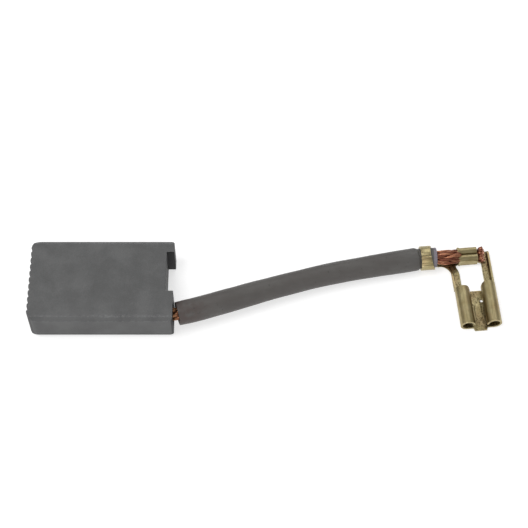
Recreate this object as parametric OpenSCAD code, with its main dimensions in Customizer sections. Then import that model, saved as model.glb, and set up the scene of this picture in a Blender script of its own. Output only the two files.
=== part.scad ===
// Carbon brush: a notched carbon block, a sleeved copper lead and a 6.3 mm flag receptacle.
// The origin is under the middle of the block, +X points to the lead end and +Z is up.

/* [Carbon block] */
// Length from the contact face to the lead end
block_l = 27.7; // [24:0.1:34]
// Width across the broad face
block_w = 17.5; // [16.5:0.25:20]
// Thickness of the block
block_t = 7; // [6:0.25:9]
// Chamfer along the four long edges
edge_chamfer = 0.75; // [0.3:0.05:1]
// Corner radius at the contact end
contact_corner_r = 1.9; // [0.9:0.1:2]
// Corner radius at the lead end
lead_corner_r = 0.8; // [0.4:0.1:1]

/* [Contact face] */
// Number of bedding grooves across the contact face
groove_count = 10; // [6:1:10]
// Spacing of the bedding grooves
groove_pitch = 1.42; // [1.2:0.02:1.44]
// Width of one groove at the face
groove_w = 0.8; // [0.5:0.05:1]
// Depth of one groove
groove_depth = 0.35; // [0.2:0.05:0.6]

/* [Spring notch] */
// Width of the notch that the pressure spring sits in
notch_w = 8.5; // [7:0.1:9]
// Depth of the notch
notch_depth = 1.45; // [1:0.05:2.5]
// Width of the thin leg beside the notch
notch_margin = 2.7; // [2:0.05:3]

/* [Copper lead] */
// Diameter of the stranded copper rope
strand_d = 2.7; // [2.2:0.1:2.8]
// Length of rope tamped into the block
strand_in = 8.8; // [6:0.2:12]
// Distance from the near side of the block to the lead bore
bore_inset = 3.05; // [2.7:0.05:3.3]
// Thickness of the tamped powder around the rope
plug_wall = 0.6; // [0.4:0.05:0.7]
// Depth that the powder lies below the lead end
plug_recess = 0.5; // [0.2:0.1:1]
// Depth of solid powder past the end of the rope
plug_bottom = 0.7; // [0.4:0.1:1.5]
// Countersink at the mouth of the lead bore
mouth_chamfer = 0.3; // [0.1:0.05:0.4]

/* [Sleeve] */
// Outer diameter of the insulating sleeve
sleeve_d = 4.4; // [4.2:0.1:5]
// Radius by which the crimp squeezes the sleeve
sleeve_squeeze = 0.2; // [0.05:0.05:0.25]

/* [Terminal sheet] */
// Thickness of the brass sheet
sheet_t = 0.4; // [0.3:0.05:0.45]
// Distance from the lead bore to the terminal, along the block
term_dx = 57.85; // [57.75:0.05:57.95]
// Distance from the lead bore to the terminal, across the block
term_dy = 13.9; // [13.8:0.05:14]
// Turn of the terminal about the vertical
term_angle = 5; // [4.5:0.5:5.5]

/* [Receptacle] */
// Width over both rolls
recept_w = 8.05; // [7.8:0.05:8.3]
// Length of the rolls
roll_l = 8.2; // [7:0.1:9]
// Outer radius of one roll
roll_r = 1.45; // [1.4:0.01:1.6]
// Height of the slot between the floor and the free edge of a roll
tab_slot = 0.8; // [0.7:0.05:0.9]
// Distance from the wire axis to the rear of the left roll
roll_start = 7; // [6.8:0.1:8]
// Length by which the right roll reaches further to the rear
roll_step = 0.6; // [0.2:0.1:0.8]
// Set-back of the floor behind the rear of the rolls
web_setback = 0.2; // [0.1:0.1:0.8]
// Corner radius at the rear of the free edges
roll_corner_r = 0.7; // [0.3:0.1:0.9]
// Width of the lead-in lip
lip_w = 2.9; // [2:0.1:4]
// Length of the lead-in lip
lip_l = 0.6; // [0.3:0.1:1]
// Width of the raised tongue on the floor
tongue_w = 1.2; // [0.8:0.1:1.4]
// Length of the raised tongue
tongue_l = 3.5; // [2.5:0.1:4]
// Height of the raised tongue
tongue_h = 0.25; // [0.1:0.05:0.35]
// Diameter of the pilot hole in the floor
pilot_d = 0.6; // [0.4:0.05:0.7]

/* [Legs] */
// Distance from the wire axis to the near edge of the floor strip
strip_near = 1.3; // [1.1:0.05:1.4]
// Half width of the window at the wire end
window_top = 2.8; // [2.7:0.05:2.9]
// Half width of the window at the receptacle end
window_base = 2.3; // [2.1:0.05:2.4]
// Fillet radius between the strip and the left leg
flare_r = 2.2; // [1.8:0.1:2.4]
// Length that the right leg reaches behind the wire axis
leg_back = 1.45; // [1.2:0.05:1.6]
// Height of the upturned outer walls
leg_wall_h = 1.4; // [1:0.05:1.45]
// Outer bend radius of the upturned walls
leg_bend_r = 0.7; // [0.5:0.05:0.9]

/* [Conductor crimp] */
// Distance from the receptacle's middle to the left end of the conductor crimp
wire_crimp_x = -1.95; // [-2:0.05:-1.8]
// Length of the conductor crimp
wire_crimp_l = 3.45; // [3:0.05:3.6]
// Width of the conductor crimp
wire_crimp_w = 3.15; // [3.05:0.05:3.25]
// Height of the conductor crimp
wire_crimp_h = 2.5; // [2.4:0.05:2.6]
// Distance of the conductor crimp's middle from the wire axis
wire_crimp_y = 0.25; // [0.2:0.05:0.3]
// Height of the crimped leg tips over the floor's underside
tip_z = 1.15; // [1.1:0.05:1.25]
// Length of the bellmouth
bell_l = 0.4; // [0.2:0.05:0.5]

/* [Insulation crimp] */
// Distance from the receptacle's middle to the left end of the insulation crimp
sleeve_crimp_x = -9.9; // [-10:0.05:-9.8]
// Length of the insulation crimp along its floor
sleeve_crimp_l = 2.85; // [2.7:0.05:2.9]
// Length that the insulation crimp loses towards its top
sleeve_crimp_rake = 1; // [0.6:0.1:1.2]
// Distance of the insulation crimp's middle from the wire axis
sleeve_crimp_y = -0.15; // [-0.2:0.05:-0.1]
// Depth of the two seams in the insulation crimp
seam_depth = 0.22; // [0.15:0.01:0.25]

/* [Hidden] */

// Clearance between the rope and whatever holds it
rope_clear = 0.03;
// Width of the hairline gap where two edges of the folded sheet meet
seam_gap = 0.06;
// Overlap that joins two parts of one piece
join = 0.1;
// Extra length of a cutter past the face that it cuts
cut = 1;

bore_r = strand_d / 2 + plug_wall;
bore_y = -block_w / 2 + bore_inset;
bore_z = block_t / 2;
bore_depth = strand_in + plug_bottom;
notch_far = block_w / 2 - notch_margin;
lead_end = block_l / 2;

roll_x = recept_w / 2 - roll_r;
front = roll_start + roll_l;
right_start = -roll_start + roll_step;
sleeve_crimp_r = sleeve_d / 2 - sleeve_squeeze + sheet_t;
sleeve_crimp_end = sleeve_crimp_x + sleeve_crimp_l;
wire_crimp_end = wire_crimp_x + wire_crimp_l;
hump_r = wire_crimp_w / 4 + 0.015;
hump_x = wire_crimp_w / 2 - hump_r;
hump_z = wire_crimp_h - hump_r;
crimp_corner_r = 0.6;
// Growth of the bellmouth over the conductor crimp
bell_flare = 0.08;
// Length over which the window narrows
leg_taper = 2.8;

// Sleeve centreline, measured from the lead bore in X and Y and from the ground in Z
sleeve_points = [
    [0.75, 0.06, 3.5], [4.35, 1.08, 3.4], [10.35, 3.05, 3.25], [19.85, 6.17, 3.05], [29.35, 8.95, 2.85],
    [38.35, 10.96, 2.65], [45.85, 12.42, 2.5], [47.5, 12.82, 2.4], [47.95, 12.88, 2.4],
    [50.87, 13.14, 2.4], [51.15, 13.16, 2.4]
];
// Rope centreline past the sleeve: down into the conductor crimp and out of it
tail_points = [
    [52.85, 13.22, 2.3], [54.75, 13.65, 1.75], [55.35, 13.92, 0.8], [59.35, 14.28, 0.8], [60.75, 14.42, 1.25]
];
// Half width and half height of the rope at the tail points
tail_sizes = [[1.5, 1.4], [1.45, 1.1], [1.02, 0.33], [1.02, 0.33], [1.6, 0.8]];

function unit(v) = v / norm(v);
function from_bore(p) = [lead_end + p.x, bore_y + p.y, p.z];
function tangent(path, i) = unit(path[min(i + 1, len(path) - 1)] - path[max(i - 1, 0)]);

// One ring of n points about path[i], a wide and b high
function ring(path, i, a, b, n) =
    let (t = tangent(path, i), side = unit(cross(t, [0, 0, 1])), up = cross(side, t))
    [for (k = [0:n - 1]) path[i] + a * cos(360 * k / n) * side + b * sin(360 * k / n) * up];

// Faces of a band between ring i and ring i + 1 whose points start at base
function band(i, n, base, flip) =
    [for (k = [0:n - 1])
        let (a = base + i * n + k, b = base + i * n + (k + 1) % n)
        each flip ? [[a, a + n, b + n], [a, b + n, b]] : [[a, b + n, a + n], [a, b, b + n]]];

sleeve_path = [for (p = sleeve_points) from_bore(p)];
sleeve_sides = 12;
sleeve_bore = (strand_d / 2 + rope_clear) / cos(180 / sleeve_sides);
squeezed_r = sleeve_d / 2 - sleeve_squeeze - rope_clear;
// The sleeve is squeezed from its ninth point on, inside the crimp
function sleeve_r(i) = i >= 8 ? squeezed_r : sleeve_d / 2;

strand_path = concat(
    [[lead_end - strand_in, bore_y, bore_z], [lead_end - 0.2, bore_y, bore_z]],
    sleeve_path,
    [for (p = tail_points) from_bore(p)]
);
strand_r = strand_d / 2;
plain_rings = len(strand_path) - len(tail_points);
function strand_size(i) = i < plain_rings ? [strand_r, strand_r] : tail_sizes[i - plain_rings];

// A solid swept along a path, with its own half width and half height at each ring
module rope_sweep(path, n) {
    last = len(path) - 1;
    polyhedron(
        points = [for (i = [0:last]) each ring(path, i, strand_size(i)[0], strand_size(i)[1], n)],
        faces = concat(
            [for (i = [0:last - 1]) each band(i, n, 0, false)],
            [[for (k = [n - 1:-1:0]) k], [for (k = [0:n - 1]) last * n + k]]
        )
    );
}

// A tube swept along a path
module tube_sweep(path, n) {
    last = len(path) - 1;
    inner = (last + 1) * n;
    polyhedron(
        points = concat(
            [for (i = [0:last]) each ring(path, i, sleeve_r(i), sleeve_r(i), n)],
            [for (i = [0:last]) each ring(path, i, sleeve_bore, sleeve_bore, n)]
        ),
        faces = concat(
            [for (i = [0:last - 1]) each band(i, n, 0, false)],
            [for (i = [0:last - 1]) each band(i, n, inner, true)],
            [for (k = [0:n - 1]) [(k + 1) % n, k, inner + k, inner + (k + 1) % n]],
            [for (k = [0:n - 1])
                let (a = last * n + k, b = last * n + (k + 1) % n) [a, b, inner + b, inner + a]]
        )
    );
}

// Outline of the block seen from above, with its bedding grooves and its notch
module block_outline() {
    difference() {
        union() {
            for (s = [-1, 1]) {
                translate([-lead_end + contact_corner_r, s * (block_w / 2 - contact_corner_r)])
                    circle(r = contact_corner_r, $fn = 48);
                translate([lead_end - lead_corner_r, s * (block_w / 2 - lead_corner_r)])
                    circle(r = lead_corner_r, $fn = 48);
            }
            translate([-lead_end + contact_corner_r, -block_w / 2])
                square([block_l - contact_corner_r - lead_corner_r, block_w]);
            translate([-lead_end, -block_w / 2 + contact_corner_r])
                square([block_l / 2, block_w - 2 * contact_corner_r]);
            translate([0, -block_w / 2 + lead_corner_r])
                square([lead_end, block_w - 2 * lead_corner_r]);
        }
        for (i = [0:groove_count - 1])
            translate([-lead_end, (i - (groove_count - 1) / 2) * groove_pitch])
                polygon([[0, -groove_w / 2], [groove_depth, 0], [0, groove_w / 2], [-cut, groove_w / 2],
                         [-cut, -groove_w / 2]]);
        translate([lead_end - notch_depth, notch_far - notch_w])
            square([notch_depth + cut, notch_w]);
    }
}

// Cross-section of the block with its four chamfered edges
module block_section() {
    w = block_w / 2;
    c = edge_chamfer;
    polygon([[-w + c, 0], [w - c, 0], [w, c], [w, block_t - c],
             [w - c, block_t], [-w + c, block_t], [-w, block_t - c], [-w, c]]);
}

module carbon_block() {
    color([0.36, 0.36, 0.37])
    difference() {
        intersection() {
            linear_extrude(block_t) block_outline();
            translate([-block_l, 0, 0]) rotate([90, 0, 90])
                linear_extrude(2 * block_l) block_section();
        }
        translate([lead_end - bore_depth, bore_y, bore_z]) rotate([0, 90, 0])
            cylinder(r = bore_r, h = bore_depth + cut, $fn = 64);
        translate([lead_end - mouth_chamfer, bore_y, bore_z]) rotate([0, 90, 0])
            cylinder(r1 = bore_r, r2 = bore_r + 2 * mouth_chamfer, h = 2 * mouth_chamfer, $fn = 64);
    }
}

// Copper and graphite powder, tamped round the rope to hold it in the block
module tamping_plug() {
    color([0.45, 0.27, 0.18])
    difference() {
        translate([lead_end - bore_depth, bore_y, bore_z]) rotate([0, 90, 0])
            cylinder(r = bore_r, h = bore_depth - plug_recess, $fn = 64);
        translate([lead_end - strand_in, bore_y, bore_z]) rotate([0, 90, 0])
            cylinder(r = strand_r + rope_clear, h = strand_in + cut, $fn = 64);
    }
}

module copper_strand() {
    color([0.62, 0.33, 0.2]) rope_sweep(strand_path, 8);
}

module insulating_sleeve() {
    color([0.38, 0.36, 0.34]) tube_sweep(sleeve_path, sleeve_sides);
}

// One rolled side of the receptacle: a ring that is open towards the tab slot
module roll_section() {
    edge = asin((roll_r - sheet_t - tab_slot) / roll_r);
    reach = 2 * roll_r;
    translate([roll_x, roll_r]) difference() {
        circle(r = roll_r, $fn = 96);
        circle(r = roll_r - sheet_t, $fn = 96);
        polygon([[0, 0], [-reach * cos(edge), -reach * sin(edge)], [-reach, -reach], [0, -reach]]);
    }
}

module floor_section() {
    translate([-roll_x, 0]) square([2 * roll_x, sheet_t]);
}

// Rounds off the rear end of the free edge of a roll that starts at y = start
module roll_corner_cut(start) {
    r = roll_corner_r;
    free_x = roll_x - roll_r;
    translate([free_x + r, start - r, sheet_t + tab_slot / 2])
        linear_extrude(2 * roll_r)
            difference() {
                translate([-r - cut, 0]) square([r + cut, r + cut]);
                circle(r = r, $fn = 48);
            }
}

// A rounded bar seen from above
module bar_outline(w, l) {
    for (s = [-1, 1]) translate([0, s * (l - w) / 2]) circle(d = w, $fn = 48);
    square([w, l - w], center = true);
}

module receptacle() {
    tongue_y = -roll_start - roll_l * 0.6;
    difference() {
        union() {
            translate([0, -roll_start, 0]) rotate([90, 0, 0])
                linear_extrude(roll_l) floor_section();
            translate([0, right_start, 0]) rotate([90, 0, 0])
                linear_extrude(roll_l + roll_step) roll_section();
            translate([0, -roll_start, 0]) rotate([90, 0, 0])
                linear_extrude(roll_l) mirror([1, 0]) roll_section();
            translate([0, -front, 0]) linear_extrude(sheet_t)
                polygon([[-lip_w / 2, join], [lip_w / 2, join], [lip_w / 2 - lip_l / 2, -lip_l],
                         [-lip_w / 2 + lip_l / 2, -lip_l]]);
            translate([0, tongue_y, 0]) linear_extrude(sheet_t + tongue_h)
                bar_outline(tongue_w, tongue_l);
        }
        translate([-roll_x, -roll_start - web_setback, -cut])
            cube([2 * roll_x, web_setback + cut, sheet_t + cut + join]);
        roll_corner_cut(right_start);
        mirror([1, 0, 0]) roll_corner_cut(-roll_start);
        translate([0, tongue_y, -cut]) linear_extrude(cut + tongue_h)
            bar_outline(tongue_w - sheet_t, tongue_l - sheet_t);
        translate([roll_x - roll_r - 0.1, -roll_start - roll_l * 0.3, -cut])
            cylinder(d = pilot_d, h = sheet_t + 2 * cut, $fn = 32);
    }
}

// Section of a leg from its outer face inwards: a wall, a bend and w of flat floor
module leg_section(w) {
    b = leg_bend_r;
    translate([b, b]) intersection() {
        difference() {
            circle(r = b, $fn = 48);
            circle(r = b - sheet_t, $fn = 48);
        }
        translate([-b, -b]) square(b);
    }
    translate([0, b]) square([sheet_t, leg_wall_h - b]);
    translate([b, 0]) square([w - b, sheet_t]);
}

// A straight leg along the receptacle's +X side, from y = start to y = end
module straight_leg(start, end) {
    translate([recept_w / 2, start, 0]) rotate([90, 0, 0]) mirror([1, 0, 0])
        linear_extrude(start - end) leg_section(recept_w / 2 - window_base);
}

// Everything above the sloping top edge of a wall, which runs through a list of [y, z] points
module above(line) {
    translate([-recept_w - flare_r, 0, 0]) rotate([90, 0, 90])
        linear_extrude(2 * (recept_w + flare_r))
            polygon(concat(line, [[line[len(line) - 1][0] + cut, 3], [line[0][0], 3]]));
}

// Left leg: its wall follows a fillet and sinks into the floor strip
module flared_leg() {
    fillet_y = -strip_near - flare_r;
    difference() {
        union() {
            mirror([1, 0, 0]) straight_leg(fillet_y, -roll_start);
            translate([-recept_w / 2 - flare_r, fillet_y, 0]) rotate_extrude(angle = 90, $fn = 96)
                translate([flare_r, 0]) leg_section(recept_w / 2 - window_base);
        }
        above([[-roll_start, leg_wall_h], [-strip_near + cut, sheet_t]]);
    }
}

// Right leg: its wall reaches past the wire axis and ends in a rounded corner
module back_leg() {
    difference() {
        straight_leg(leg_back, right_start);
        above([[leg_back - 0.9, leg_wall_h], [leg_back - 0.3, 0.75 * leg_wall_h], [leg_back, sheet_t],
               [leg_back + cut, sheet_t]]);
    }
}

// Legs and flat strip that carry the crimps
module legs() {
    flared_leg();
    back_leg();
    linear_extrude(sheet_t) {
        polygon([
            [sleeve_crimp_end - join, -1], [sleeve_crimp_end + 0.9, -strip_near + 0.2],
            [-window_top - 0.5, -strip_near + 0.2], [-window_base, -strip_near - leg_taper],
            [-window_top, -strip_near], [wire_crimp_x + join, wire_crimp_y - 0.8],
            [wire_crimp_x + join, wire_crimp_y + 0.8],
            [wire_crimp_x - 0.8, strip_near], [sleeve_crimp_end + 0.9, strip_near],
            [sleeve_crimp_end - join, 1]
        ]);
        polygon([
            [wire_crimp_end - join, wire_crimp_y - 0.8], [window_top, -strip_near], [window_base, -strip_near - leg_taper],
            [window_top + join, leg_back - 0.1], [wire_crimp_end + 0.6, strip_near],
            [wire_crimp_end - join, wire_crimp_y + 0.8]
        ]);
    }
}

// Outline of the conductor crimp, d inside the sheet's outer face: a tray with two humps
module crimp_shape(d) {
    w = wire_crimp_w / 2;
    c = crimp_corner_r;
    for (s = [-1, 1]) {
        translate([s * hump_x, hump_z]) circle(r = hump_r - d, $fn = 64);
        translate([s * (w - c), c]) circle(r = c - d, $fn = 48);
    }
    translate([-w + d, c]) square([2 * (w - d), hump_z - c]);
    translate([-w + c, d]) square([2 * (w - c), c]);
}

// Section of the conductor crimp: both sheet edges are curled down into the wire.
// A flared section is larger outside by grow and wider inside by twice that.
module wire_crimp_section(grow) {
    difference() {
        crimp_shape(-grow);
        difference() {
            crimp_shape(sheet_t - 2 * grow);
            translate([-hump_x, tip_z]) square([2 * hump_x, wire_crimp_h]);
        }
        translate([-seam_gap / 2, sheet_t]) square([seam_gap, wire_crimp_h]);
    }
}

module wire_crimp() {
    translate([wire_crimp_x, wire_crimp_y, 0]) rotate([90, 0, 90])
        linear_extrude(wire_crimp_l) wire_crimp_section(0);
    translate([wire_crimp_x - bell_l, wire_crimp_y, bell_flare]) rotate([90, 0, 90])
        linear_extrude(bell_l) wire_crimp_section(bell_flare);
}

// Section of the insulation crimp: three humps, with the sheet edges meeting at the first seam
module sleeve_crimp_section() {
    seams = [107, 152];
    r = sleeve_crimp_r;
    difference() {
        circle(r = r, $fn = 96);
        circle(r = r - sheet_t, $fn = 96);
        for (a = seams)
            rotate(a) translate([r + seam_depth, 0]) circle(r = 2 * seam_depth, $fn = 32);
        rotate(seams[0]) translate([0, -seam_gap / 2]) square([2 * r, seam_gap]);
    }
}

module sleeve_crimp() {
    r = sleeve_crimp_r;
    translate([0, sleeve_crimp_y, r]) difference() {
        translate([sleeve_crimp_x, 0, 0]) rotate([90, 0, 90])
            linear_extrude(sleeve_crimp_l) sleeve_crimp_section();
        translate([sleeve_crimp_end, r + cut, 0]) rotate([90, 0, 0]) linear_extrude(2 * (r + cut))
            polygon([[0, -r / 2], [cut, -r / 2], [cut, r + cut], [-sleeve_crimp_rake, r + cut],
                     [-sleeve_crimp_rake, r]]);
    }
}

// Flag receptacle, folded from one brass sheet
module flag_terminal() {
    color([0.62, 0.56, 0.38])
    translate([lead_end + term_dx, bore_y + term_dy, 0]) rotate([0, 0, term_angle])
        union() {
            receptacle();
            legs();
            wire_crimp();
            sleeve_crimp();
        }
}

carbon_block();
tamping_plug();
copper_strand();
insulating_sleeve();
flag_terminal();
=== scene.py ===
# Carbon brush: finishes, sleeve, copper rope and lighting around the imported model
import math
import random

import bmesh
import bpy
from mathutils import Matrix, Vector, noise


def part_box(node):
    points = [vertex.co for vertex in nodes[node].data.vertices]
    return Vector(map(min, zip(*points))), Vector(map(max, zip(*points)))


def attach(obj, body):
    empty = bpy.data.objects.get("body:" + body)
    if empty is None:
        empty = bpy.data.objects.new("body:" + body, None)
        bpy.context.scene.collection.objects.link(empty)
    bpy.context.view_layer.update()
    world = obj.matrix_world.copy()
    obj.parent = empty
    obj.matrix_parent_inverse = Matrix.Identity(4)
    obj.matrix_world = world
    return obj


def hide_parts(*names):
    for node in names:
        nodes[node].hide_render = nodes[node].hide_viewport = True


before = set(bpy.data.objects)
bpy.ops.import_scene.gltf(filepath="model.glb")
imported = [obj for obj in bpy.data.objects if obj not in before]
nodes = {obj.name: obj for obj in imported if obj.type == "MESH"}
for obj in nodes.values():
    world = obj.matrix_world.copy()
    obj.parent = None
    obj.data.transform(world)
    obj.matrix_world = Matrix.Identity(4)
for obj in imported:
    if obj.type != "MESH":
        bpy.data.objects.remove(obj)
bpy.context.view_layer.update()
mm = 0.001
dice = random.Random(41)

cameraSet = {
    "lookAt": (31.19, 7.33, 0.0),  # mm
    "distance": 296.8,  # mm
    "elevation": 60.3,
    "lens": 102.27,
}


def placeCamera():
    rise = math.radians(cameraSet["elevation"])
    away = Vector((0, -math.cos(rise), math.sin(rise))) * cameraSet["distance"]
    lens = bpy.data.cameras.new("camera")
    lens.lens = cameraSet["lens"]
    lens.sensor_width = 36
    lens.clip_start, lens.clip_end = 0.01, 10
    camera = bpy.data.objects.new("camera", lens)
    camera.location = (Vector(cameraSet["lookAt"]) + away) * mm
    camera.rotation_euler = (math.pi / 2 - rise, 0, 0)
    bpy.context.scene.collection.objects.link(camera)
    bpy.context.scene.camera = camera
    print("camera placed")


placeCamera()

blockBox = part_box("carbon_block")
blockTop = blockBox[1].z
blockSide = blockBox[1].y
leadEnd = blockBox[1].x

terminalSet = {
    "origin": (71.7, 8.2, 0.0),  # mm, on the wire axis over the middle of the receptacle
    "turn": 5.0,  # degrees about Z
    "edgeRound": 0.045,  # mm
    "edgeAngle": 34.0,  # degrees
}
terminalPlace = Matrix.Translation(Vector(terminalSet["origin"]) * mm) @ Matrix.Rotation(
    math.radians(terminalSet["turn"]), 4, "Z"
)


def linkMesh(name, mesh, slot, *replaced):
    piece = bpy.data.objects.new(name, mesh)
    bpy.context.scene.collection.objects.link(piece)
    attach(piece, "root")
    if replaced:
        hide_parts(*replaced)
    return piece


def splineWeights(t):
    return (
        -0.5 * t + t * t - 0.5 * t**3,
        1 - 2.5 * t * t + 1.5 * t**3,
        0.5 * t + 2 * t * t - 1.5 * t**3,
        -0.5 * t * t + 0.5 * t**3,
    )


def smoothLine(points, steps=12):
    ends = [points[0] * 2 - points[1], *points, points[-1] * 2 - points[-2]]
    line = []
    for i in range(len(points) - 1):
        for k in range(steps):
            weights = splineWeights(k / steps)
            line.append(sum((ends[i + j] * w for j, w in enumerate(weights)), Vector((0, 0, 0))))
    return line + [points[-1].copy()]


def runLengths(line):
    runs = [0.0]
    for a, b in zip(line, line[1:]):
        runs.append(runs[-1] + (b - a).length)
    return runs


def pointAt(line, runs, s):
    s = min(max(s, 0.0), runs[-1])
    low, high = 0, len(runs) - 1
    while high - low > 1:
        mid = (low + high) // 2
        low, high = (mid, high) if runs[mid] <= s else (low, mid)
    t = (s - runs[low]) / max(runs[high] - runs[low], 1e-12)
    return line[low].lerp(line[high], t)


def blendRow(rows, s):
    # rows of [run, value, ...]: the values at s, eased between rows
    if s <= rows[0][0]:
        return rows[0][1:]
    for a, b in zip(rows, rows[1:]):
        if s <= b[0]:
            t = (s - a[0]) / (b[0] - a[0])
            t = t * t * (3 - 2 * t)
            return [x + (y - x) * t for x, y in zip(a[1:], b[1:])]
    return rows[-1][1:]


def tubesToMesh(name, strands, thick, resolution, caps):
    # strands: lists of (point, radius factor); one spline each
    curve = bpy.data.curves.new(name, "CURVE")
    curve.dimensions = "3D"
    curve.bevel_depth = thick
    curve.bevel_resolution = resolution
    curve.use_fill_caps = caps
    for strand in strands:
        spline = curve.splines.new("POLY")
        spline.points.add(len(strand) - 1)
        for place, (point, factor) in zip(spline.points, strand):
            place.co = (*point, 1)
            place.radius = factor
    holder = bpy.data.objects.new(name, curve)
    bpy.context.scene.collection.objects.link(holder)
    shape = holder.evaluated_get(bpy.context.evaluated_depsgraph_get())
    mesh = bpy.data.meshes.new_from_object(shape)
    bpy.data.objects.remove(holder)
    bpy.data.curves.remove(curve)
    form = bmesh.new()
    form.from_mesh(mesh)
    bmesh.ops.remove_doubles(form, verts=form.verts, dist=2e-7)
    bmesh.ops.recalc_face_normals(form, faces=form.faces)
    for face in form.faces:
        face.smooth = len(face.verts) < 5
    form.to_mesh(mesh)
    form.free()
    return mesh


# centreline of the sleeve, as in the source, in mm
sleeveRoute = [
    (14.6, -5.64, 3.5), (18.2, -4.62, 3.4), (24.2, -2.65, 3.25), (33.7, 0.47, 3.05),
    (43.2, 3.25, 2.85), (52.2, 5.26, 2.65), (59.7, 6.72, 2.5), (61.35, 7.12, 2.4),
    (61.8, 7.18, 2.4), (64.72, 7.44, 2.4), (65.0, 7.46, 2.4),
]
sleeveSet = {
    "diameter": 4.4,  # mm
    # distance from the block's end of the sleeve and growth of the radius there, in mm
    "swell": [
        [0, 0.1], [2, 0.16], [9, 0.14], [14, 0.07], [19, 0.0],
        [26, -0.05], [33, -0.04], [40, 0.02], [46, 0.08],
    ],
    "wall": 0.72,  # mm
    "rings": 190,
    "sides": 48,
    "squeeze": 0.24,  # mm off the radius under the crimp
    "wave": 0.02,  # mm
    "dents": [(5.2, 0.05), (1.3, 0.012)],  # size and depth in mm
    "cutRound": 0.06,  # mm
}


def makeSleeve():
    route = [Vector(p) * mm for p in sleeveRoute]
    line = smoothLine(route)
    runs = runLengths(line)
    total = runs[-1]
    radius = sleeveSet["diameter"] / 2
    crimpStart = total - 5.55 * mm
    strand = []
    for i in range(sleeveSet["rings"]):
        s = total * i / (sleeveSet["rings"] - 1)
        point = pointAt(line, runs, s)
        swell = blendRow([[r * mm, g] for r, g in sleeveSet["swell"]], s)[0]
        squeeze = blendRow(
            [[0, 0.0], [crimpStart + 1.35 * mm, 0.0], [crimpStart + 2.05 * mm, 1.0], [total, 1.0]],
            s,
        )[0]
        swell += (-sleeveSet["squeeze"] - swell) * squeeze
        wave = sleeveSet["wave"] * noise.noise(Vector((s / mm / 6.5, 3.1, 0)))
        strand.append((point, (radius + swell + wave) / radius))
    mesh = tubesToMesh("sleeve", [strand], radius * mm, 6, False)
    form = bmesh.new()
    form.from_mesh(mesh)
    # slight dents along the outside, then the wall and its two cut ends
    for vert in form.verts:
        near = min(line, key=lambda p: (p - vert.co).length_squared)
        out = (vert.co - near).normalized()
        lift = sum(noise.noise(vert.co / (size * mm)) * depth for size, depth in sleeveSet["dents"])
        vert.co += out * lift * mm
    bmesh.ops.recalc_face_normals(form, faces=form.faces)
    outward = sum(
        f.normal.dot(f.calc_center_median() - min(line, key=lambda p: (p - f.verts[0].co).length))
        for f in list(form.faces)[:200]
    )
    if outward < 0:
        bmesh.ops.reverse_faces(form, faces=form.faces)
    bmesh.ops.solidify(form, geom=form.faces[:], thickness=sleeveSet["wall"] * mm)
    bmesh.ops.recalc_face_normals(form, faces=form.faces)
    form.to_mesh(mesh)
    form.free()
    mesh.shade_smooth()
    sleeve = linkMesh("sleeve", mesh, "sleeve", "insulating_sleeve")
    edges = sleeve.modifiers.new("cutEdges", "BEVEL")
    edges.width = sleeveSet["cutRound"] * mm
    edges.segments = 2
    edges.limit_method = "ANGLE"
    edges.angle_limit = math.radians(50)
    path = [tuple(pointAt(line, runs, total * k / 29)) for k in range(30)]
    print("sleeve made,", round(total / mm, 1), "mm long")
    return sleeve, path, total


sleeve, sleevePath, sleeveLength = makeSleeve()

ropeStart = [(5.05, -5.7, 3.5), (13.65, -5.7, 3.5)]
# route past the sleeve with half width and half height there, in mm
ropeTail = [
    ((66.6, 7.5, 2.3), 1.5, 1.45), ((68.1, 7.7, 2.2), 1.55, 1.42), ((68.95, 7.92, 1.95), 1.52, 1.3),
    ((69.4, 8.14, 1.5), 1.4, 1.02), ((69.95, 8.28, 0.86), 1.0, 0.36),
    ((73.1, 8.57, 0.84), 1.0, 0.36), ((73.55, 8.62, 1.1), 1.3, 0.72),
    ((74.1, 8.68, 1.45), 1.66, 1.02), ((74.7, 8.74, 1.58), 1.78, 1.12),
]
ropeSet = {
    "wires": (4, 12),  # wires in the core and in the skin of one bundle
    "wireRadius": 0.112,  # mm
    "halfInside": 1.3,  # mm, half width of the rope inside the sleeve
    "ropePitch": 21.0,  # mm
    "bundlePitch": 9.5,  # mm
    "hiddenStep": 1.25,  # mm
    "openStep": 0.2,  # mm
}


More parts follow.
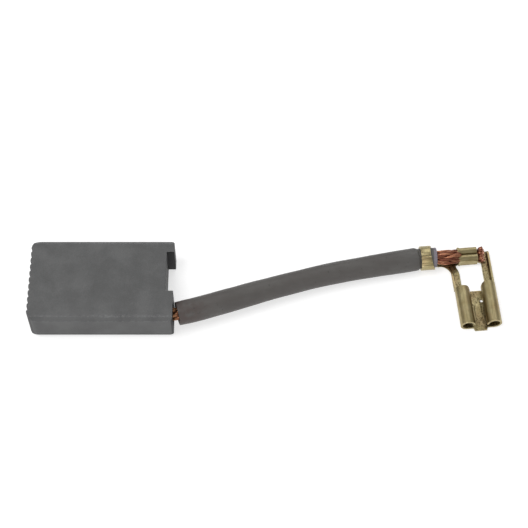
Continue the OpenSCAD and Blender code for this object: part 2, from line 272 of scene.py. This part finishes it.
def makeRope():
    tail = [Vector(p) * mm for p, a, b in ropeTail]
    points = [Vector(p) * mm for p in ropeStart + sleeveRoute] + tail
    line = smoothLine(points, 10)
    runs = runLengths(line)
    total = runs[-1]

    def runNear(point):
        k = min(range(len(line)), key=lambda i: (line[i] - point).length_squared)
        return runs[k]

    mouth = runNear(Vector(ropeStart[1]) * mm)
    sleeveEnd = runNear(Vector(sleeveRoute[-1]) * mm)
    inside = ropeSet["halfInside"]
    sizes = [[0, 1.33, 1.33], [mouth + 0.7 * mm, 1.33, 1.33], [mouth + 2 * mm, inside, inside],
             [sleeveEnd - 1.2 * mm, inside, inside], [sleeveEnd + 0.2 * mm, 1.36, 1.36]]
    sizes += [[runNear(p), a, b] for p, (q, a, b) in zip(tail, ropeTail)]
    fanStart = runNear(tail[5])
    stops, s = [], 0.0
    while s < total:
        stops.append(s)
        isOpen = (mouth - 0.8 * mm < s < mouth + 1.4 * mm) or s > sleeveEnd - 0.8 * mm
        s += (ropeSet["openStep"] if isOpen else ropeSet["hiddenStep"]) * mm
    stops.append(total)
    wireR = ropeSet["wireRadius"]
    core, skin = ropeSet["wires"]
    strands = []
    for bundle in range(7):
        ring = 0.0 if bundle == 0 else 0.675
        start = math.tau * bundle / 6 + 0.35
        for wire in range(core + skin):
            inner = wire < core
            reach = 0.13 if inner else 0.315
            phase = math.tau * (wire / core if inner else (wire - core) / skin) + bundle
            seed = Vector((bundle * 3.7, wire * 1.9, 0))
            flare = Vector((dice.uniform(-1, 1), dice.uniform(-1, 1)))
            cutBack = dice.uniform(-0.05, 0.5) * mm
            stray = 0.3 if dice.random() < 0.1 else 0.05
            strand = []
            for s in stops:
                if s > total - cutBack and len(strand) > 4 and strand[-1][2] > fanStart:
                    break
                turn = start + math.tau * s / (ropeSet["ropePitch"] * mm)
                spin = phase - math.tau * s / (ropeSet["bundlePitch"] * mm)
                u = ring * math.cos(turn) + reach * math.cos(spin)
                v = ring * math.sin(turn) + reach * math.sin(spin)
                a, b = blendRow(sizes, s)
                free = 1.0 if sleeveEnd < s < fanStart - 3.5 * mm else 0.15
                wob = noise.noise_vector(seed + Vector((0, 0, s / mm / 1.1))) * stray * free
                fan = max(0.0, (s - fanStart) / (total - fanStart))
                spread = fan * fan
                x = (a - wireR) * u + wob.x + flare.x * 0.34 * spread
                z = (b - wireR) * v + wob.y + flare.y * 0.26 * spread
                here = pointAt(line, runs, s)
                ahead = pointAt(line, runs, s + 0.2 * mm) - pointAt(line, runs, s - 0.2 * mm)
                side = ahead.cross(Vector((0, 0, 1))).normalized()
                up = side.cross(ahead).normalized()
                strand.append((here + side * x * mm + up * z * mm, 1.0, s))
            strands.append([(p, r) for p, r, s in strand])
    mesh = tubesToMesh("copperRope", strands, wireR * mm, 1, True)
    rope = linkMesh("copperRope", mesh, "copper", "copper_strand")
    print("rope made,", len(strands), "wires,", len(mesh.polygons), "faces")
    return rope


copperRope = makeRope()



def roundedCopy(node, name, slot, width, angle):
    # a merged copy of a rigid solid with its sharp edges broken; "edge" marks the new faces
    mesh = nodes[node].data.copy()
    mesh.name = name
    form = bmesh.new()
    form.from_mesh(mesh)
    bmesh.ops.remove_doubles(form, verts=form.verts, dist=1e-6)
    bmesh.ops.dissolve_limit(
        form, angle_limit=math.radians(0.4), verts=form.verts, edges=form.edges
    )
    mark = form.faces.layers.float.new("edge")
    limit = math.radians(angle)
    sharp = [e for e in form.edges if len(e.link_faces) == 2 and e.calc_face_angle() > limit]
    made = bmesh.ops.bevel(
        form, geom=sharp, offset=width * mm, offset_type="OFFSET", segments=2, profile=0.5,
        affect="EDGES", material=-1, clamp_overlap=False, loop_slide=True,
    )
    for face in made["faces"]:
        face[mark] = 1.0
    bmesh.ops.triangulate(form, faces=form.faces)
    for face in form.faces:
        face.smooth = True
    form.to_mesh(mesh)
    form.free()
    mesh.materials.clear()
    piece = linkMesh(name, mesh, slot, node)
    shading = piece.modifiers.new("flatFaces", "WEIGHTED_NORMAL")
    shading.weight = 100
    print(name, "made,", len(mesh.polygons), "faces")
    return piece


terminal = roundedCopy(
    "flag_terminal", "flagTerminal", "brass", terminalSet["edgeRound"], terminalSet["edgeAngle"]
)
blockSet = {"edgeRound": 0.09, "edgeAngle": 25.0}
block = roundedCopy(
    "carbon_block", "carbonBlock", "carbon", blockSet["edgeRound"], blockSet["edgeAngle"]
)



class Tree:
    def __init__(self, tree):
        self.tree = tree

    def add(self, kind, **settings):
        node = self.tree.nodes.new(kind)
        inputs = settings.pop("inputs", {})
        for key, value in settings.items():
            setattr(node, key, value)
        for key, value in inputs.items():
            if isinstance(value, bpy.types.NodeSocket):
                self.tree.links.new(value, node.inputs[key])
            else:
                node.inputs[key].default_value = value
        return node

    def math(self, operation, a, b=0.0, c=0.0, clamp=False):
        node = self.add("ShaderNodeMath", operation=operation, use_clamp=clamp)
        for socket, value in zip(node.inputs, (a, b, c)):
            if isinstance(value, bpy.types.NodeSocket):
                self.tree.links.new(value, socket)
            else:
                socket.default_value = value
        return node.outputs[0]

    def range(self, value, low, high, toLow=0.0, toHigh=1.0, smooth=True):
        kind = "SMOOTHSTEP" if smooth else "LINEAR"
        node = self.add("ShaderNodeMapRange", interpolation_type=kind)
        for key, item in zip((0, 1, 2, 3, 4), (value, low, high, toLow, toHigh)):
            if isinstance(item, bpy.types.NodeSocket):
                self.tree.links.new(item, node.inputs[key])
            else:
                node.inputs[key].default_value = item
        return node.outputs[0]

    def mix(self, factor, a, b, blend="MIX"):
        node = self.add("ShaderNodeMix", data_type="RGBA", blend_type=blend)
        for key, item in zip((0, 6, 7), (factor, a, b)):
            if isinstance(item, bpy.types.NodeSocket):
                self.tree.links.new(item, node.inputs[key])
            else:
                node.inputs[key].default_value = item
        return node.outputs[2]

    def shade(self, colour, level):
        tone = self.add("ShaderNodeCombineXYZ", inputs={0: level, 1: level, 2: level}).outputs[0]
        return self.mix(1.0, colour, tone, "MULTIPLY")

    def noise(self, vector, scale, detail=3.0, rough=0.5, distortion=0.0):
        node = self.add(
            "ShaderNodeTexNoise",
            inputs={"Vector": vector, "Scale": scale, "Detail": detail, "Roughness": rough,
                    "Distortion": distortion},
        )
        return node.outputs[0]

    def stretch(self, vector, scale, turn=(0, 0, 0), move=(0, 0, 0)):
        return self.add(
            "ShaderNodeMapping", vector_type="POINT",
            inputs={"Vector": vector, "Scale": scale, "Rotation": turn, "Location": move},
        ).outputs[0]

    def split(self, vector):
        return self.add("ShaderNodeSeparateXYZ", inputs={"Vector": vector}).outputs

    def group(self, tree, **inputs):
        node = self.add("ShaderNodeGroup", node_tree=tree)
        for key, value in inputs.items():
            if isinstance(value, bpy.types.NodeSocket):
                self.tree.links.new(value, node.inputs[key])
            else:
                node.inputs[key].default_value = value
        return node.outputs


def grey(level):
    return (level, level, level, 1.0)


def newGroup(name, inputs, outputs):
    tree = bpy.data.node_groups.new(name, "ShaderNodeTree")
    for label, kind, value in inputs:
        socket = tree.interface.new_socket(label, in_out="INPUT", socket_type=kind)
        if value is not None:
            socket.default_value = value
    for label, kind in outputs:
        tree.interface.new_socket(label, in_out="OUTPUT", socket_type=kind)
    made = Tree(tree)
    start = made.add("NodeGroupInput")
    end = made.add("NodeGroupOutput")
    return made, start.outputs, end.inputs


def newMaterial(name):
    material = bpy.data.materials.new(name)
    material.use_nodes = True
    material.node_tree.nodes.clear()
    made = Tree(material.node_tree)
    shader = made.add("ShaderNodeBsdfPrincipled")
    end = made.add("ShaderNodeOutputMaterial")
    material.node_tree.links.new(shader.outputs[0], end.inputs[0])
    where = made.add("ShaderNodeTexCoord").outputs["Object"]
    return material, made, shader, where


def plug(made, value, socket):
    made.tree.links.new(value, socket)


def bumpFrom(made, shader, height, strength, depth):
    # depth in mm
    inputs = {"Strength": strength, "Distance": depth * mm, "Height": height}
    bump = made.add("ShaderNodeBump", inputs=inputs)
    plug(made, bump.outputs[0], shader.inputs["Normal"])


# grain: fine speckle and slow clouding on one scale in metres
grainGroup, gIn, gOut = newGroup(
    "surfaceGrain",
    [("Vector", "NodeSocketVector", None), ("Fine", "NodeSocketFloat", 9000.0),
     ("Cloud", "NodeSocketFloat", 300.0)],
    [("Fine", "NodeSocketFloat"), ("Cloud", "NodeSocketFloat")],
)
fineNoise = grainGroup.add("ShaderNodeTexNoise", inputs={"Detail": 4.0, "Roughness": 0.65})
plug(grainGroup, gIn["Vector"], fineNoise.inputs["Vector"])
plug(grainGroup, gIn["Fine"], fineNoise.inputs["Scale"])
cloudNoise = grainGroup.add("ShaderNodeTexNoise", inputs={"Detail": 3.0, "Roughness": 0.55})
plug(grainGroup, gIn["Vector"], cloudNoise.inputs["Vector"])
plug(grainGroup, gIn["Cloud"], cloudNoise.inputs["Scale"])
plug(grainGroup, fineNoise.outputs[0], gOut["Fine"])
plug(grainGroup, cloudNoise.outputs[0], gOut["Cloud"])

carbonSet = {
    "ground": (0.108, 0.109, 0.109, 1),
    "raw": (0.0085, 0.0085, 0.0088, 1),
    "chamfer": (0.078, 0.079, 0.08, 1),
    # lighter tone for the upper edge line and the bevel faces: partly wear, partly painted
    # highlight
    "rubAndHighlight": (0.2, 0.203, 0.205, 1),
    "boreDark": ((-5.75, 3.5), 2.4),  # mm, middle in Y and Z and radius of the dark patch
}


def carbonMaterial():
    material, made, shader, where = newMaterial("groundCarbon")
    (boreY, boreZ), boreRadius = carbonSet["boreDark"]
    x, y, z = made.split(where)
    grain = made.group(grainGroup.tree, Vector=where, Fine=8200.0, Cloud=210.0)
    # the sawn end with its notch stays dark; so do the grooves of the contact face
    normal = made.add("ShaderNodeNewGeometry").outputs["True Normal"]
    nx, ny, nz = made.split(normal)
    endFace = made.range(made.math("ABSOLUTE", nx), 0.45, 0.75)
    notchWall = made.math(
        "MULTIPLY",
        made.range(x, leadEnd - 1.52 * mm, leadEnd - 1.45 * mm),
        made.math(
            "MULTIPLY",
            made.range(made.math("ABSOLUTE", ny), 0.6, 0.9),
            made.math("LESS_THAN", made.math("ABSOLUTE", y), blockSide - 0.7 * mm),
        ),
    )
    bore = made.math(
        "LESS_THAN",
        made.math(
            "SQRT",
            made.math(
                "ADD",
                made.math("POWER", made.math("SUBTRACT", y, boreY * mm), 2.0),
                made.math("POWER", made.math("SUBTRACT", z, boreZ * mm), 2.0),
            ),
        ),
        boreRadius * mm,
    )
    dark = made.math("MAXIMUM", made.math("MAXIMUM", endFace, notchWall), bore, clamp=True)
    # chamfer band
    rim = made.math(
        "ADD",
        made.math("ABSOLUTE", y),
        made.math("ABSOLUTE", made.math("SUBTRACT", z, blockTop / 2)),
    )
    corner = blockSide + blockTop / 2
    chamfer = made.range(rim, corner - 0.62 * mm, corner - 0.5 * mm)
    colour = made.mix(chamfer, carbonSet["ground"], carbonSet["chamfer"])
    # grinding marks across the broad face
    lines = made.noise(made.stretch(where, (9000, 420, 420)), 1.0, 3.0, 0.6)
    colour = made.mix(made.range(lines, 0.35, 0.7, 0.0, 0.22), colour, grey(0.088))
    colour = made.shade(colour, made.range(grain["Cloud"], 0.3, 0.7, 0.86, 1.12))
    colour = made.shade(colour, made.range(grain["Fine"], 0.3, 0.72, 0.8, 1.2, smooth=False))
    # a light line along the upper edges, partly rubbed wear and partly a painted highlight
    nearEdge = made.math(
        "MULTIPLY",
        made.range(made.math("ABSOLUTE", y), blockSide - 1.35 * mm, blockSide - 0.75 * mm),
        made.range(made.math("ABSOLUTE", y), blockSide - 0.5 * mm, blockSide - 0.62 * mm),
    )
    chips = made.noise(made.stretch(where, (2600, 5200, 900)), 1.0, 3.0, 0.7)
    broken = made.range(chips, 0.5, 0.66)
    along = made.range(x, -6 * mm, 1 * mm, 0.25, 1.0)
    upper = made.math("MULTIPLY", made.math("MULTIPLY", nearEdge, broken), along)
    colour = made.mix(made.math("MULTIPLY", upper, 0.75), colour, carbonSet["rubAndHighlight"])
    # sharp edges catch the light: a painted highlight on the bevel faces, mixed with edge wear
    edge = made.add("ShaderNodeAttribute", attribute_name="edge").outputs["Fac"]
    wearAndGlint = made.math("MULTIPLY", edge, made.range(made.noise(where, 2600.0, 3.0), 0.42, 0.62))
    colour = made.mix(made.math("MULTIPLY", wearAndGlint, 0.45), colour, carbonSet["rubAndHighlight"])
    colour = made.mix(dark, colour, carbonSet["raw"])
    plug(made, colour, shader.inputs["Base Color"])
    rough = made.range(grain["Fine"], 0.2, 0.8, 0.46, 0.62)
    plug(made, rough, shader.inputs["Roughness"])
    shader.inputs["Specular IOR Level"].default_value = 0.35
    height = made.math(
        "ADD", made.math("MULTIPLY", grain["Fine"], 0.6), made.math("MULTIPLY", lines, 0.35)
    )
    bumpFrom(made, shader, height, 0.35, 0.04)
    return material




powderSet = {"dark": (0.03, 0.018, 0.014, 1), "speck": (0.3, 0.12, 0.06, 1)}


def powderMaterial():
    material, made, shader, where = newMaterial("tampedPowder")
    grain = made.group(grainGroup.tree, Vector=where, Fine=6000.0, Cloud=1500.0)
    speck = made.range(grain["Fine"], 0.48, 0.6)
    plug(made, made.mix(speck, powderSet["dark"], powderSet["speck"]), shader.inputs["Base Color"])
    plug(made, made.range(grain["Fine"], 0.4, 0.7, 0.85, 0.5), shader.inputs["Roughness"])
    bumpFrom(made, shader, grain["Fine"], 0.8, 0.1)
    return material


sleeveColours = {
    "base": ((0.083, 0.076, 0.071, 1), (0.1, 0.096, 0.09, 1)),
    "streak": (0.07, 0.064, 0.061, 1),
    "stain": (0.068, 0.047, 0.042, 1),
    # lighter lilac painted reflection on the sleeve's end under and past the crimp
    "endReflection": (0.2, 0.18, 0.21, 1),
    "speck": (0.045, 0.04, 0.038, 1),
    "stainFrom": 24,  # mm along X, fading in towards "stainFull"
    "stainFull": 15,  # mm
    "endReflectionFrom": 64.3,  # mm
}


def sleeveMaterial():
    material, made, shader, where = newMaterial("greySleeve")
    x, y, z = made.split(where)
    grain = made.group(grainGroup.tree, Vector=where, Fine=5200.0, Cloud=150.0)
    along = made.stretch(where, (120, 900, 900), (0, 0, math.radians(-15)))
    streak = made.noise(along, 1.0, 3.0, 0.6)
    colour = made.mix(made.range(grain["Cloud"], 0.35, 0.65), *sleeveColours["base"])
    colour = made.mix(made.range(streak, 0.35, 0.7, 0.0, 0.35), colour, sleeveColours["streak"])
    stain = made.math(
        "MULTIPLY",
        made.range(x, sleeveColours["stainFrom"] * mm, sleeveColours["stainFull"] * mm),
        made.range(made.noise(where, 420.0, 3.0, 0.6), 0.3, 0.6),
    )
    colour = made.mix(made.math("MULTIPLY", stain, 0.8), colour, sleeveColours["stain"])
    # painted reflection: the sleeve past this X is painted a lighter lilac
    cutX = sleeveColours["endReflectionFrom"]
    endReflection = made.range(x, cutX * mm, (cutX + 0.2) * mm)
    colour = made.mix(endReflection, colour, sleeveColours["endReflection"])
    speck = made.range(made.noise(where, 1500.0, 2.0, 0.5), 0.66, 0.74, 0.0, 0.5)
    colour = made.mix(speck, colour, sleeveColours["speck"])
    plug(made, colour, shader.inputs["Base Color"])
    plug(made, made.range(grain["Fine"], 0.25, 0.75, 0.42, 0.6), shader.inputs["Roughness"])
    height = made.math("ADD", made.math("MULTIPLY", grain["Fine"], 0.4), streak)
    bumpFrom(made, shader, height, 0.25, 0.06)
    shader.inputs["Specular IOR Level"].default_value = 0.45
    return material


copperSet = {
    "dull": (0.2, 0.07, 0.045, 1),
    "bright": (0.52, 0.24, 0.14, 1),
    "fresh": (0.85, 0.5, 0.36, 1),
    "deep": (0.3, 0.16, 0.08, 1),
    "freshFrom": (73.9, 74.7),  # mm along X
    "deepFrom": (15.5, 13.5),  # mm along X
}


def copperMaterial():
    material, made, shader, where = newMaterial("strandedCopper")
    x, y, z = made.split(where)
    island = made.add("ShaderNodeNewGeometry").outputs["Random Per Island"]
    tarnish = made.noise(where, 1100.0, 3.0, 0.6)
    mix = made.math("ADD", made.math("MULTIPLY", island, 0.55), made.math("MULTIPLY", tarnish, 0.6))
    colour = made.mix(made.range(mix, 0.35, 0.75), copperSet["dull"], copperSet["bright"])
    fresh = made.range(x, *(place * mm for place in copperSet["freshFrom"]))
    fresh = made.math("MULTIPLY", fresh, made.range(island, 0.15, 0.7))
    colour = made.mix(fresh, colour, copperSet["fresh"])
    deep = made.range(x, *(place * mm for place in copperSet["deepFrom"]))
    colour = made.mix(deep, colour, copperSet["deep"])
    plug(made, colour, shader.inputs["Base Color"])
    shader.inputs["Metallic"].default_value = 1.0
    plug(made, made.range(tarnish, 0.3, 0.7, 0.28, 0.48), shader.inputs["Roughness"])
    bumpFrom(made, shader, tarnish, 0.2, 0.02)
    return material


brassSet = {
    "base": ((0.33, 0.27, 0.135, 1), (0.42, 0.36, 0.2, 1)),
    "warm": (0.36, 0.24, 0.13, 1),
    "oxide": (0.08, 0.06, 0.03, 1),
    "edge": (0.62, 0.55, 0.33, 1),
    "floorHeight": (0.95, 0.5),  # mm, the oxide dots fade in downwards between these
}


def brassMaterial():
    material, made, shader, where = newMaterial("stampedBrass")
    turned = made.stretch(
        where, (1, 1, 1), (0, 0, 0), tuple(-Vector(terminalSet["origin"]) * mm)
    )
    local = made.stretch(turned, (1, 1, 1), (0, 0, -math.radians(terminalSet["turn"])))
    x, y, z = made.split(local)
    grain = made.group(grainGroup.tree, Vector=where, Fine=7000.0, Cloud=420.0)
    colour = made.mix(made.range(grain["Cloud"], 0.35, 0.68), *brassSet["base"])
    warm = made.range(made.noise(where, 260.0, 2.0), 0.45, 0.65)
    colour = made.mix(made.math("MULTIPLY", warm, 0.4), colour, brassSet["warm"])
    # oxide dots on the flat floor
    flat = made.range(z, *(height * mm for height in brassSet["floorHeight"]))
    dots = made.range(made.noise(where, 2600.0, 2.0, 0.6), 0.5, 0.6)
    oxide = made.math("MULTIPLY", made.math("MULTIPLY", flat, dots), 0.75)
    colour = made.mix(oxide, colour, brassSet["oxide"])
    edge = made.add("ShaderNodeAttribute", attribute_name="edge").outputs["Fac"]
    colour = made.mix(made.math("MULTIPLY", edge, 0.55), colour, brassSet["edge"])
    plug(made, colour, shader.inputs["Base Color"])
    shader.inputs["Metallic"].default_value = 1.0
    rough = made.range(grain["Fine"], 0.25, 0.75, 0.3, 0.46)
    plug(made, rough, shader.inputs["Roughness"])
    bumpFrom(made, shader, grain["Fine"], 0.25, 0.03)
    return material


def dress(piece, material):
    piece.data.materials.clear()
    piece.data.materials.append(material)


dress(block, carbonMaterial())
dress(nodes["tamping_plug"], powderMaterial())
dress(sleeve, sleeveMaterial())
dress(copperRope, copperMaterial())
dress(terminal, brassMaterial())
print("finishes made")

studioSet = {
    "floorSize": 3.0,  # m
    "worldLevel": 0.42,
    "lamps": [
        # name, place in m, size in m, watts
        ("keyLamp", (-0.25, -0.05, 0.6), 0.35, 1.9),
        ("frontLamp", (0.1, -0.7, 0.35), 0.5, 1.3),
        ("rearLamp", (0.2, 0.5, 0.45), 0.4, 0.9),
    ],
}


def makeStudio():
    form = bmesh.new()
    bmesh.ops.create_grid(form, x_segments=1, y_segments=1, size=studioSet["floorSize"] / 2)
    mesh = bpy.data.meshes.new("floor")
    form.to_mesh(mesh)
    form.free()
    floor = bpy.data.objects.new("floor", mesh)
    bpy.context.scene.collection.objects.link(floor)
    material = bpy.data.materials.new("paleFloor")
    material.use_nodes = True
    tree = material.node_tree
    tree.nodes.clear()
    made = Tree(tree)
    diffuse = made.add("ShaderNodeBsdfDiffuse", inputs={"Color": grey(0.6)})
    light = made.add("ShaderNodeEmission", inputs={"Color": grey(1.0), "Strength": 0.6})
    both = made.add("ShaderNodeAddShader", inputs={0: diffuse.outputs[0], 1: light.outputs[0]})
    plain = made.add("ShaderNodeBsdfDiffuse", inputs={"Color": grey(0.8)})
    rays = made.add("ShaderNodeLightPath").outputs
    seen = made.math("MAXIMUM", rays["Is Camera Ray"], rays["Is Glossy Ray"])
    seen = made.math("MAXIMUM", seen, rays["Is Transmission Ray"])
    either = made.add(
        "ShaderNodeMixShader", inputs={0: seen, 1: plain.outputs[0], 2: both.outputs[0]}
    )
    end = made.add("ShaderNodeOutputMaterial")
    plug(made, either.outputs[0], end.inputs[0])
    mesh.materials.append(material)

    world = bpy.data.worlds.new("studio")
    world.use_nodes = True
    world.node_tree.nodes.clear()
    sky = Tree(world.node_tree)
    level = studioSet["worldLevel"]
    soft = sky.add("ShaderNodeBackground", inputs={"Color": grey(1.0), "Strength": level})
    white = sky.add("ShaderNodeBackground", inputs={"Color": grey(1.0), "Strength": 1.0})
    rays = sky.add("ShaderNodeLightPath").outputs
    mixed = sky.add(
        "ShaderNodeMixShader",
        inputs={0: rays["Is Camera Ray"], 1: soft.outputs[0], 2: white.outputs[0]},
    )
    end = sky.add("ShaderNodeOutputWorld")
    plug(sky, mixed.outputs[0], end.inputs[0])
    bpy.context.scene.world = world

    target = Vector((31, 3, 2)) * mm
    for name, place, size, power in studioSet["lamps"]:
        lamp = bpy.data.lights.new(name, "AREA")
        lamp.shape = "SQUARE"
        lamp.size = size
        lamp.energy = power
        holder = bpy.data.objects.new(name, lamp)
        holder.location = place
        holder.rotation_euler = (Vector(place) - target).to_track_quat("Z", "Y").to_euler()
        bpy.context.scene.collection.objects.link(holder)
    bpy.context.scene.view_settings.view_transform = "Standard"
    print("studio made")


makeStudio()
